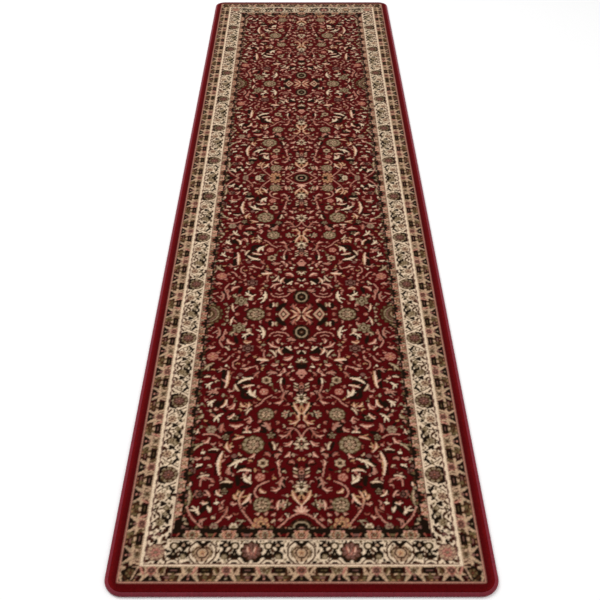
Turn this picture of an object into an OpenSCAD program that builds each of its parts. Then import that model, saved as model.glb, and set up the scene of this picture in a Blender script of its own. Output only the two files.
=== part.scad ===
// Patterned runner rug: woven pile on a ground of wefts and warps, with an overcast edge.
// It lies flat, length along Y, width along X. The origin is the middle of its underside.

/* [Overall size] */
// Width over the overcast edge
rug_w = 800; // [700:10:1000]
// Length over the overcast edge
rug_l = 3000; // [2400:20:4000]
// Height from the floor to the tips of the pile
rug_h = 10; // [9:0.5:14]
// Radius of the outer corners
corner_r = 42; // [14:1:48]

/* [Overcast edge] */
// Width of the overcast roll
roll_w = 10; // [8.5:0.5:11]
// Height of the overcast roll
roll_h = 8; // [7:0.5:8]
// Yarn outside the cut edge of the ground
roll_wall = 3; // [2.5:0.5:4]
// Diameter of the sewing thread that locks the overcast yarn
lock_thread_d = 0.7; // [0.4:0.1:0.8]

/* [Pile bands along the sides, from the outside in] */
// Plain band next to the overcast roll, also at the ends
edge_band_w = 16; // [12:2:30]
// Thin line inside the plain band, also at the ends
pin_line_w = 4; // [2:2:6]
// Outer guard stripe
outer_guard_w = 38; // [26:2:50]
// Outer cream line
outer_cream_w = 8; // [4:2:12]
// Main border
main_border_w = 44; // [30:2:60]
// Inner cream line
inner_cream_w = 6; // [4:2:8]
// Inner guard stripe
inner_guard_w = 18; // [12:2:30]

/* [Pile bands across the ends, from the outside in] */
// Outer guard stripe
end_outer_guard_w = 34; // [26:2:50]
// Outer cream line
end_outer_cream_w = 4; // [4:2:12]
// Main border
end_main_border_w = 56; // [30:2:70]
// Inner cream line
end_inner_cream_w = 4; // [4:2:8]
// Inner guard stripe
end_inner_guard_w = 24; // [12:2:30]

/* [Ground] */
// Thickness of the back coat
coat_t = 1; // [0.8:0.1:1.2]
// Diameter of the weft threads
weft_d = 0.9; // [0.6:0.1:1]
// Distance from one drawn weft thread to the next
weft_pitch = 25; // [20:1:40]
// Thickness of the straight warp threads
stuffer_t = 0.4; // [0.3:0.1:0.5]
// Width of the straight warp threads
stuffer_w = 1.2; // [0.8:0.1:2]
// Distance from one drawn straight warp thread to the next
stuffer_pitch = 12; // [8:1:20]
// Thickness of the chain warp threads
chain_t = 0.3; // [0.2:0.05:0.3]
// Width of the chain warp threads
chain_w = 0.8; // [0.5:0.1:1.2]
// Distance from one drawn chain warp thread to the next
chain_pitch = 60; // [48:12:120]

/* [Hidden] */
$fn = 64;

// Colours
wine = [0.36, 0.03, 0.05];
crimson = [0.45, 0.05, 0.12];
field_red = [0.40, 0.04, 0.06];
cream = [0.90, 0.82, 0.66];
tan = [0.70, 0.58, 0.42];
brown = [0.35, 0.24, 0.15];
jute = [0.72, 0.62, 0.45];
cotton = [0.86, 0.82, 0.74];
latex = [0.80, 0.75, 0.64];

// Heights of the layers, from the floor up
chain_low_z = coat_t;
lower_weft_z = chain_low_z + chain_t + weft_d / 2;
stuffer_z = lower_weft_z + weft_d / 2;
upper_weft_z = stuffer_z + stuffer_t + weft_d / 2;
chain_high_z = upper_weft_z + weft_d / 2;
pile_z = chain_high_z + chain_t;

// How far each band lies in from the rug's outer edge: [at the sides, at the ends]
edge_band_in = [roll_w, roll_w];
pin_line_in = edge_band_in + [edge_band_w, edge_band_w];
outer_guard_in = pin_line_in + [pin_line_w, pin_line_w];
outer_cream_in = outer_guard_in + [outer_guard_w, end_outer_guard_w];
main_border_in = outer_cream_in + [outer_cream_w, end_outer_cream_w];
inner_cream_in = main_border_in + [main_border_w, end_main_border_w];
inner_guard_in = inner_cream_in + [inner_cream_w, end_inner_cream_w];
field_in = inner_guard_in + [inner_guard_w, end_inner_guard_w];

// Room inside the roll between its outer wall and the ground's thread ends
thread_end_gap = 0.3;
// The ground's cut edge lies inside the roll
ground_in = roll_wall + thread_end_gap;
// The first and last threads lie this far from the ground's cut edge
edge_margin = 2;
// Hairline between two neighbouring runs of one band or of the roll, where they meet at a corner
run_gap = 0.04;
// Air between threads that cross, and between the lock thread and what it lies against
thread_gap = 0.02;
// Room between a buried yarn and the straight warp threads on either side of it
yarn_side_gap = 1;

// A rectangle with round corners that follow the rug's outer corners, "inset" inside them
module inset_round_rect(inset) {
  square([rug_w - 2 * inset, rug_l - 2 * corner_r], center = true);
  square([rug_w - 2 * corner_r, rug_l - 2 * inset], center = true);
  for (x = [-1, 1], y = [-1, 1])
    translate([x * (rug_w / 2 - corner_r), y * (rug_l / 2 - corner_r)])
      circle(r = corner_r - inset);
}

// The four strips of one pile band between two insets, each [at the sides, at the ends].
// Two strips run the whole length and two lie between them.
module band_strips(outer, inner) {
  side_w = inner[0] - outer[0];
  end_w = inner[1] - outer[1];
  for (s = [-1, 1]) {
    translate([s * (rug_w - outer[0] - inner[0]) / 2, 0])
      square([side_w, rug_l - 2 * outer[1]], center = true);
    translate([0, s * (rug_l - outer[1] - inner[1]) / 2])
      square([rug_w - 2 * (inner[0] + run_gap), end_w], center = true);
  }
}

module pile_height() {
  translate([0, 0, pile_z]) linear_extrude(height = rug_h - pile_z) children();
}

module pile_band(outer, inner) {
  pile_height() band_strips(outer, inner);
}

// Half of a thread's length, at a distance from the rug's middle line across it.
// "across" and "along" are the rug's half sizes across and along the thread.
function thread_half(place, across, along) =
  let (r = corner_r - ground_in, past = abs(place) - (across - corner_r))
  past <= 0 ? along - ground_in : along - corner_r + sqrt(max(0, r * r - past * past));

// Places of a row of threads, spread evenly about the middle
function thread_places(half, pitch) =
  let (reach = half - ground_in - edge_margin, n = floor(2 * reach / pitch))
  [for (i = [0 : n]) (i - n / 2) * pitch];

weft_places = thread_places(rug_l / 2, weft_pitch);
stuffer_places = thread_places(rug_w / 2, stuffer_pitch);
chain_count = floor((rug_w - 2 * corner_r) / chain_pitch);
// Chain threads and buried yarns run in the lanes between the straight warp threads
lane = stuffer_pitch / 2;

module weft_row(z) {
  for (y = weft_places) {
    half = thread_half(y, rug_l / 2, rug_w / 2);
    translate([-half, y, z]) rotate([0, 90, 0]) cylinder(d = weft_d, h = 2 * half);
  }
}

module back_coat() {
  color(latex) linear_extrude(height = coat_t) inset_round_rect(roll_w);
}

module lower_weft() {
  color(jute) weft_row(lower_weft_z);
}

module upper_weft() {
  color(jute) weft_row(upper_weft_z);
}

module straight_warp(x, width) {
  half = thread_half(abs(x) + width / 2, rug_w / 2, rug_l / 2);
  translate([x - width / 2, -half, stuffer_z]) cube([width, 2 * half, stuffer_t]);
}

module stuffer_warps() {
  color(cotton) for (x = stuffer_places) straight_warp(x, stuffer_w);
}

// A lane holds a chain thread or a buried yarn, never both
function is_chain_lane(x) =
  len([for (i = [0 : chain_count - 1])
    if (abs(chain_x(i) - x) < stuffer_pitch / 2) i]) > 0;
function chain_x(i) =
  let (raw = (i - (chain_count - 1) / 2) * chain_pitch)
  stuffer_places[0] + lane + round((raw - stuffer_places[0] - lane) / stuffer_pitch) * stuffer_pitch;

module buried_pile_yarns() {
  yarn_w = stuffer_pitch - 2 * (stuffer_w + yarn_side_gap);
  color(field_red)
    for (i = [0 : len(stuffer_places) - 2]) {
      x = stuffer_places[i] + lane;
      if (!is_chain_lane(x)) straight_warp(x, yarn_w);
    }
}

// A chain thread's side view: under one weft of the lower row, over the next of the upper row
module chain_profile() {
  n = len(weft_places);
  low = chain_low_z - thread_gap;
  high = chain_high_z + thread_gap;
  underside = [for (i = [0 : n - 1]) [weft_places[i], i % 2 == 0 ? low : high]];
  top = [for (i = [n - 1 : -1 : 0]) underside[i] + [0, chain_t]];
  polygon(concat(underside, top));
}

module chain_warps() {
  color(cotton)
    for (i = [0 : chain_count - 1])
      translate([chain_x(i) - chain_w / 2, 0, 0])
        rotate([90, 0, 90]) linear_extrude(height = chain_w) chain_profile();
}

module pile_field() {
  color(field_red)
    pile_height() square([rug_w - 2 * field_in[0], rug_l - 2 * field_in[1]], center = true);
}

module pile_inner_guard() {
  color(tan) pile_band(inner_guard_in, field_in);
}

module pile_inner_cream_line() {
  color(cream) pile_band(inner_cream_in, inner_guard_in);
}

module pile_main_border() {
  color(cream) pile_band(main_border_in, inner_cream_in);
}

module pile_outer_cream_line() {
  color(cream) pile_band(outer_cream_in, main_border_in);
}

module pile_outer_guard() {
  color(brown) pile_band(outer_guard_in, outer_cream_in);
}

module pile_pin_line() {
  color(tan) pile_band(pin_line_in, outer_guard_in);
}

// The plain band follows the round corners on its outer side and is square inside
module pile_edge_band() {
  color(wine)
    pile_height() intersection() {
      inset_round_rect(roll_w);
      band_strips(edge_band_in, pin_line_in);
    }
}

// Section of the overcast roll, x from its outer side inwards, with the slot for the ground's edge
module roll_section() {
  r = roll_h / 2;
  difference() {
    union() {
      translate([r, r]) circle(r = r);
      translate([roll_w - r, r]) circle(r = r);
      translate([r, 0]) square([roll_w - 2 * r, roll_h]);
      // The underside wraps flat under the ground, up to the back coat
      translate([r, 0]) square([roll_w - r, coat_t]);
    }
    translate([roll_wall, coat_t]) square([roll_w, pile_z - coat_t]);
  }
}

// Section of the lock thread, which lies in the groove between the roll and the plain band
module lock_section() {
  r = roll_h / 2;
  across = r - lock_thread_d / 2 - thread_gap;
  clear = r + lock_thread_d / 2 + thread_gap;
  up = sqrt(clear * clear - across * across);
  translate([roll_w - r + across, r + up]) circle(d = lock_thread_d);
}

// A section drawn from the outer edge inwards, run along one side or end of the given length
module straight_run(length) {
  rotate([90, 0, 0]) linear_extrude(height = length - 2 * run_gap, center = true) children();
}

// The same section round one outer corner, from the +X axis to the +Y axis
module corner_run() {
  rotate_extrude(angle = 90) translate([corner_r, 0]) mirror([1, 0]) children();
}

// The section run all round the rug: four straight runs and four corners
module run_round_edge() {
  side_l = rug_l - 2 * corner_r;
  end_l = rug_w - 2 * corner_r;
  for (turn = [0, 180]) rotate([0, 0, turn]) {
    translate([-rug_w / 2, 0, 0]) straight_run(side_l) children();
    translate([0, -rug_l / 2, 0]) rotate([0, 0, 90]) straight_run(end_l) children();
    translate([end_l / 2, side_l / 2, 0]) corner_run() children();
    translate([-end_l / 2, side_l / 2, 0]) rotate([0, 0, 90]) corner_run() children();
  }
}

module serging() {
  color(crimson) run_round_edge() roll_section();
}

module lock_thread() {
  color(wine) run_round_edge() lock_section();
}

back_coat();
lower_weft();
stuffer_warps();
buried_pile_yarns();
upper_weft();
chain_warps();
pile_field();
pile_inner_guard();
pile_inner_cream_line();
pile_main_border();
pile_outer_cream_line();
pile_outer_guard();
pile_pin_line();
pile_edge_band();
serging();
lock_thread();
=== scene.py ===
"""Looks of a patterned runner rug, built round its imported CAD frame.

Lengths in the pattern sections are millimetres; everything else is metres.
x runs across the rug, y along it, and the floor is at z = 0.
"""

import math

import bpy
import numpy as np
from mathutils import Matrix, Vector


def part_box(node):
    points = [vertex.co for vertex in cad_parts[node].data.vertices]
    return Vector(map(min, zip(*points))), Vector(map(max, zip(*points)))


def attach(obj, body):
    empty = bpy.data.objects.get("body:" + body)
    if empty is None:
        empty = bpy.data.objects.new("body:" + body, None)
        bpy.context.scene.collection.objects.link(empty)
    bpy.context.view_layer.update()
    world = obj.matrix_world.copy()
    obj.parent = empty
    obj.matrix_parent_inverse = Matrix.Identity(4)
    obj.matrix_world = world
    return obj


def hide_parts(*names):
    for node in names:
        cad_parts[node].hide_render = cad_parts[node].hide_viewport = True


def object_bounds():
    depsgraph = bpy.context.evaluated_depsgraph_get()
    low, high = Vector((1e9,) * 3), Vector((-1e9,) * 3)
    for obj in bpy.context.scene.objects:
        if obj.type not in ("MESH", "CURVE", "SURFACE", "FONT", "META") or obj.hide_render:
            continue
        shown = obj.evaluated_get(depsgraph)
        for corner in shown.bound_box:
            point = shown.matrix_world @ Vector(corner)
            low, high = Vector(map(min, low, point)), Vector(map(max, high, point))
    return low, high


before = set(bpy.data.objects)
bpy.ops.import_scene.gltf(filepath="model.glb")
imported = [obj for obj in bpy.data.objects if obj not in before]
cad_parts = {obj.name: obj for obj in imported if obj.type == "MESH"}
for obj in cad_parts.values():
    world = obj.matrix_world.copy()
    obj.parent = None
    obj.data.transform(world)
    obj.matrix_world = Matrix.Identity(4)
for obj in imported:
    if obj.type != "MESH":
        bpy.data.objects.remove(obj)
cad_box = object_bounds()

MM = 0.001
SEED = 7

# ---- Yarns -------------------------------------------------------------------------------------

# Dyed colours of the pile yarns, as sRGB from 0 to 255
YARNS = {
    "wine": (77, 6, 8),
    "rust": (46, 9, 5),
    "black": (26, 15, 7),
    "brown": (64, 36, 20),
    "olive": (100, 82, 53),
    "grey": (152, 131, 104),
    "beige": (186, 153, 122),
    "gold": (180, 134, 94),
    "cream": (224, 198, 168),
    "pink": (182, 124, 106),
    "rose": (144, 78, 62),
    "mauve": (118, 80, 70),
    "tan": (168, 118, 100),
    "blush": (216, 172, 147),
}
(WINE, RUST, BLACK, BROWN, OLIVE, GREY, BEIGE, GOLD, CREAM, PINK, ROSE, MAUVE, TAN, BLUSH) = range(len(YARNS))

# The yarn that shades each yarn's motifs
SHADES = {
    WINE: RUST, RUST: BLACK, BLACK: BROWN, BROWN: BLACK, OLIVE: BROWN,
    GREY: OLIVE, BEIGE: MAUVE, GOLD: ROSE, CREAM: BEIGE, PINK: ROSE,
    ROSE: MAUVE, MAUVE: BROWN, TAN: ROSE, BLUSH: GOLD,
}
# The yarn of the light streak down the middle of a leaf
LIGHTS = {PINK: BLUSH, GOLD: BLUSH, GREY: BEIGE, BEIGE: CREAM, ROSE: PINK, BLUSH: CREAM}

# ---- Drawing on the knot chart -------------------------------------------------------------------

KNOT = 2.0  # one knot, across and along
OUTLINE = 2.1  # width of the dark line round a motif


def smooth(path):
    """Points along a Catmull-Rom curve through the path, about a millimetre apart, with their share of it."""
    path = np.array(path, float)
    if len(path) == 1:
        return path, np.zeros(1)
    ends = np.vstack([2 * path[0] - path[1], path, 2 * path[-1] - path[-2]])
    points, shares = [], []
    spans = len(path) - 1
    for i in range(spans):
        a, b, c, d = ends[i : i + 4]
        steps = max(2, int(np.hypot(*(c - b))))
        for t in np.linspace(0, 1, steps, endpoint=i == spans - 1):
            curve = 2 * b + (c - a) * t + (2 * a - 5 * b + 4 * c - d) * t**2
            curve = curve + (3 * b - a - 3 * c + d) * t**3
            points.append(curve / 2)
            shares.append((i + t) / spans)
    return np.array(points), np.array(shares)


class Pen:
    """Draws motifs in yarn on a knot chart. "place" turns the pen's own axes into the chart's."""

    def __init__(self, chart, ground, place=lambda p, q: (p, q)):
        self.chart, self.ground, self.place = chart, ground, place
        rows, cols = chart.shape
        self.x = (np.arange(cols) + 0.5) * KNOT
        self.y = (np.arange(rows) + 0.5) * KNOT

    def window(self, points, reach):
        """The part of the chart within reach of the points, and the places of its knots."""
        low, high = points.min(0) - reach, points.max(0) + reach
        i0, i1 = np.searchsorted(self.x, [low[0], high[0]])
        j0, j1 = np.searchsorted(self.y, [low[1], high[1]])
        return self.chart[j0:j1, i0:i1], self.x[None, i0:i1], self.y[j0:j1, None]

    def paint(self, part, gap, yarn, edge):
        """Yarn where the gap to the shape is negative, and a dark edge on the ground round it."""
        if edge is not None:
            part[(gap < OUTLINE) & (gap >= 0) & (part == self.ground)] = edge
        part[gap < 0] = yarn

    def brush(self, path, radii, yarn, edge=None):
        """A stroke along a smooth path, as wide as the radii spread along it say."""
        points, shares = smooth(path)
        points = np.array([self.place(*point) for point in points])
        radii = np.interp(shares, np.linspace(0, 1, len(radii)), radii)
        part, x, y = self.window(points, radii.max() + 2 * KNOT)
        gap = np.full(part.shape, 1e9)
        for (px, py), radius in zip(points, radii):
            gap = np.minimum(gap, np.hypot(x - px, y - py) - radius)
        self.paint(part, gap, yarn, edge)

    def leaf(self, p0, q0, p1, q1, width, yarn, bend=0.0, edge=RUST, barbs=()):
        """A leaf from its stem to its tip, bent to the left by the given amount.

        Each barb is (share of the length, side, share of the leaf's size)."""
        length = math.hypot(p1 - p0, q1 - q0)
        left = (-(q1 - q0) / length, (p1 - p0) / length)
        spine = []
        for t in (0, 0.25, 0.5, 0.75, 1):
            aside = 4 * bend * t * (1 - t)
            spine.append((p0 + (p1 - p0) * t + left[0] * aside, q0 + (q1 - q0) * t + left[1] * aside))
        for share, side, size in barbs:
            foot = (p0 + (p1 - p0) * share, q0 + (q1 - q0) * share)
            turn = math.atan2(q1 - q0, p1 - p0) + side * 0.85
            reach = max(7, min(16, length * 0.55)) * size
            tip = (foot[0] + reach * math.cos(turn), foot[1] + reach * math.sin(turn))
            radii = [width * 0.3, width * 0.3 * size, 0.9]
            self.brush([foot, tip], radii, PINK if yarn == BLUSH else yarn, edge)
        self.brush(spine, [width * share for share in (0.16, 0.34, 0.52, 0.36, 0.1)], yarn, edge)
        if edge is not None and width > 5:
            # A light streak along the right side and a darker left side
            for aside, wide, shade in ((-0.12, 0.2, LIGHTS.get(yarn, yarn)), (0.36, 0.17, SHADES[yarn])):
                path = [(p + left[0] * width * aside, q + left[1] * width * aside) for p, q in spine]
                self.brush(path, [width * 0.08, width * wide, width * 0.05], shade)

    def around(self, p, q, reach, tall):
        """The chart round a place, and how far each knot lies from it along the pen's own axes."""
        centre = np.array([self.place(p, q)])
        along = np.array(self.place(p, q + 1)) - centre[0]
        part, x, y = self.window(centre, reach * max(1, tall) + 2 * KNOT)
        dx, dy = x - centre[0, 0], y - centre[0, 1]
        return part, dx * along[1] - dy * along[0], (dx * along[0] + dy * along[1]) / tall

    def flower(self, p, q, radius, yarn, lobes=8, depth=0.16, tall=1.0, edge=RUST):
        """A round shape with lobes; tall stretches it along the pen's second axis."""
        part, sideways, forward = self.around(p, q, radius * (1 + depth), tall)
        turn, reach = np.arctan2(sideways, forward), np.hypot(sideways, forward)
        outline = radius * (1 + depth * np.cos(lobes * turn))
        self.paint(part, reach - outline, yarn, edge)
        if edge is not None and radius >= 7 and lobes >= 4:
            # Petals: dark gaps between them, a shaded ring at their feet and a dark heart
            gaps = (np.cos(lobes * turn) < -0.45) & (reach > 0.5 * radius) & (reach < outline)
            part[gaps] = SHADES[yarn]
            part[abs(reach - 0.55 * radius) < 1.1] = SHADES[SHADES[yarn]]
            part[(abs(reach - 0.8 * radius) < 1.1) & ~gaps & (np.cos(lobes * turn) > 0.7)] = SHADES[yarn]
            part[reach < 0.22 * radius] = BROWN

    def dot(self, p, q, radius, yarn):
        """A plain round spot without a dark edge."""
        self.flower(p, q, radius, yarn, depth=0, edge=None)

    def free(self, p, q, radius):
        """Whether the ground is still empty within a radius of a place."""
        centre = np.array([self.place(p, q)])
        part, x, y = self.window(centre, radius)
        near = np.hypot(x - centre[0, 0], y - centre[0, 1]) < radius
        return part.size > 0 and bool((part == self.ground)[near].all())

    def curl(self, p, q, turn, size, yarn):
        """A hook: a stroke that swells and curls round to one side."""
        path = [(p + size * math.cos(turn + a), q + size * math.sin(turn + a)) for a in (0, 0.9, 1.8, 2.6)]
        self.brush(path, [0.9, 1.7, 2.1, 1.2], yarn, RUST)

    def palmette(self, p, q, size, turn, petal, inner, heart):
        """A flower seen from the side: petals fanned out from a dark heart."""
        self.flower(p, q, size * 0.62, BROWN, depth=0)
        self.fan(p, q, size, turn, petal, 5, 190, 0.42)
        self.fan(p, q, size * 0.66, turn, inner, 4, 130, 0.36, edge=BROWN)
        self.dot(p, q, size * 0.26, BLACK)
        self.dot(p, q, size * 0.12, heart)

    def sprig(self, p, q, turn, size, yarn, leaves):
        """A short stem with a few leaves spread at its top."""
        top = (p + size * 0.4 * math.cos(turn), q + size * 0.4 * math.sin(turn))
        foot = (p - size * math.cos(turn + 0.5), q - size * math.sin(turn + 0.5))
        self.brush([foot, (p, q), top], [0.9, 1.5, 1.5], SHADES[yarn])
        for i in range(leaves):
            angle = turn + 1.0 * (i - (leaves - 1) / 2)
            tip = (top[0] + size * math.cos(angle), top[1] + size * math.sin(angle))
            self.leaf(*top, *tip, max(4.4, size * 0.62), yarn)

    def scatter(self, rng, region, clear, draw):
        """Draw small motifs on the ground that is still empty in a region."""
        p0, p1, q0, q1 = region
        for q in np.arange(q0, q1, clear * 0.7):
            for p in np.arange(p0, p1, clear * 0.7):
                spot = (p + rng.uniform(-0.3, 0.3) * clear, q + rng.uniform(-0.3, 0.3) * clear)
                turn = rng.uniform(0, 2 * math.pi)
                pick = rng.integers(1000)
                if self.free(*spot, clear):
                    draw(*spot, turn, pick)

    def ring(self, p, q, radius, width, yarn, tall=1.0):
        """A line of the given width round a place."""
        part, sideways, forward = self.around(p, q, radius + width, tall)
        self.paint(part, abs(np.hypot(sideways, forward) - radius) - width / 2, yarn, None)

    def block(self, p0, p1, q0, q1, yarn):
        """A filled rectangle."""
        corners = np.array([self.place(p0, q0), self.place(p1, q1)])
        low, high = corners.min(0), corners.max(0)
        part, x, y = self.window(corners, KNOT)
        part[(x > low[0]) & (x < high[0]) & (y > low[1]) & (y < high[1])] = yarn

    def polygon(self, corners, yarn):
        """A filled shape with straight sides."""
        points = np.array([self.place(*corner) for corner in corners])
        part, x, y = self.window(points, KNOT)
        inside = np.zeros(part.shape, bool)
        for (ax, ay), (bx, by) in zip(points, np.roll(points, -1, axis=0)):
            if ay != by:
                crosses = (ay > y) != (by > y)
                inside ^= crosses & (x < (bx - ax) * (y - ay) / (by - ay) + ax)
        part[inside] = yarn

    def rosette(self, p, q, radius, petal, gap, core, petals):
        """A round flower: separate petals on a dark disc, with a ringed core."""
        self.dot(p, q, radius, gap)
        share = 0.74 * math.sin(math.pi / petals)
        petal_radius = radius * share / (1 + share)
        out = radius - petal_radius
        for i in range(petals):
            angle = 2 * math.pi * i / petals
            place = (p + out * math.cos(angle), q + out * math.sin(angle))
            self.dot(*place, petal_radius, petal)
            if petal_radius > 3.4:
                self.dot(*place, 1.2, SHADES[petal])
        inner = out - petal_radius
        if inner > 4.5:
            self.ring(p, q, inner - 0.6, 1.8, petal)
        self.dot(p, q, max(1.6, inner - 3.2), core)

    def fan(self, p, q, radius, turn, yarn, rays, spread, width=0.45, edge=RUST):
        """Petals spread round a direction, in degrees from the pen's first axis."""
        for i in range(rays):
            angle = math.radians(turn + spread * (i / max(1, rays - 1) - 0.5))
            tip = (p + radius * math.cos(angle), q + radius * math.sin(angle))
            self.leaf(p, q, *tip, radius * width, yarn, edge=edge)


class Spot:
    """A pen that measures from a place of its own, with its first axis turned round on side -1.

    Its leaves and flowers have no dark edge unless one is given."""

    def __init__(self, pen, p, q, side=1):
        self.pen, self.p, self.q, self.side = pen, p, q, side

    def at(self, p, q):
        return self.p + self.side * p, self.q + q

    def sides(self):
        """This spot's left and right halves."""
        return [Spot(self.pen, self.p, self.q, side) for side in (-1, 1)]

    def brush(self, path, radii, yarn):
        self.pen.brush([self.at(*point) for point in path], radii, yarn)

    def stem(self, path):
        self.brush(path, [1.5, 1.5], BROWN)

    def polygon(self, corners, yarn):
        self.pen.polygon([self.at(*corner) for corner in corners], yarn)

    def leaf(self, p0, q0, p1, q1, *look, edge=None):
        self.pen.leaf(*self.at(p0, q0), *self.at(p1, q1), *look, edge=edge)

    def flower(self, p, q, *look, edge=None):
        self.pen.flower(*self.at(p, q), *look, edge=edge)

    def dot(self, p, q, radius, yarn):
        self.pen.dot(*self.at(p, q), radius, yarn)

    def ring(self, p, q, *look):
        self.pen.ring(*self.at(p, q), *look)

    def rosette(self, p, q, *look):
        self.pen.rosette(*self.at(p, q), *look)


# ---- The field's woven repeat --------------------------------------------------------------------
# p is the distance from the rug's middle line, q the distance from the end of the field.

FIELD_VINES = [
    [(0, 38), (12, 36), (28, 25), (42, 10), (54, -2)],
    [(104, 12), (112, 22), (126, 42), (136, 62)],
    [(168, 32), (178, 18), (192, 10)],
    [(208, -2), (222, 12), (240, 32), (250, 56)],
    [(74, 122), (90, 114), (101, 103), (103, 88), (95, 76)],
    [(52, 164), (50, 150), (48, 136)],
    [(200, 126), (222, 132), (226, 110)],
    [(0, 245), (7, 262), (18, 273), (34, 273)],
    [(190, 245), (206, 255), (232, 255)],
    [(74, 378), (90, 366), (100, 352), (112, 342)],
    [(52, 412), (49, 400), (44, 388)],
    [(112, 466), (116, 478), (126, 474), (150, 469)],
    [(164, 502), (175, 492), (176, 478), (168, 468)],
    [(32, 580), (40, 597), (60, 603), (78, 600), (86, 588)],
    [(52, 588), (62, 592), (72, 588)],
    [(204, 612), (208, 590), (216, 568), (206, 546)],
    [(236, 584), (248, 590), (258, 588)],
    [(96, 534), (98, 520), (96, 508)],
    [(0, 436), (6, 446), (4, 456)],
    [(186, 512), (192, 500), (204, 494), (214, 506)],
    [(136, 300), (124, 306), (126, 290)],
]

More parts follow.
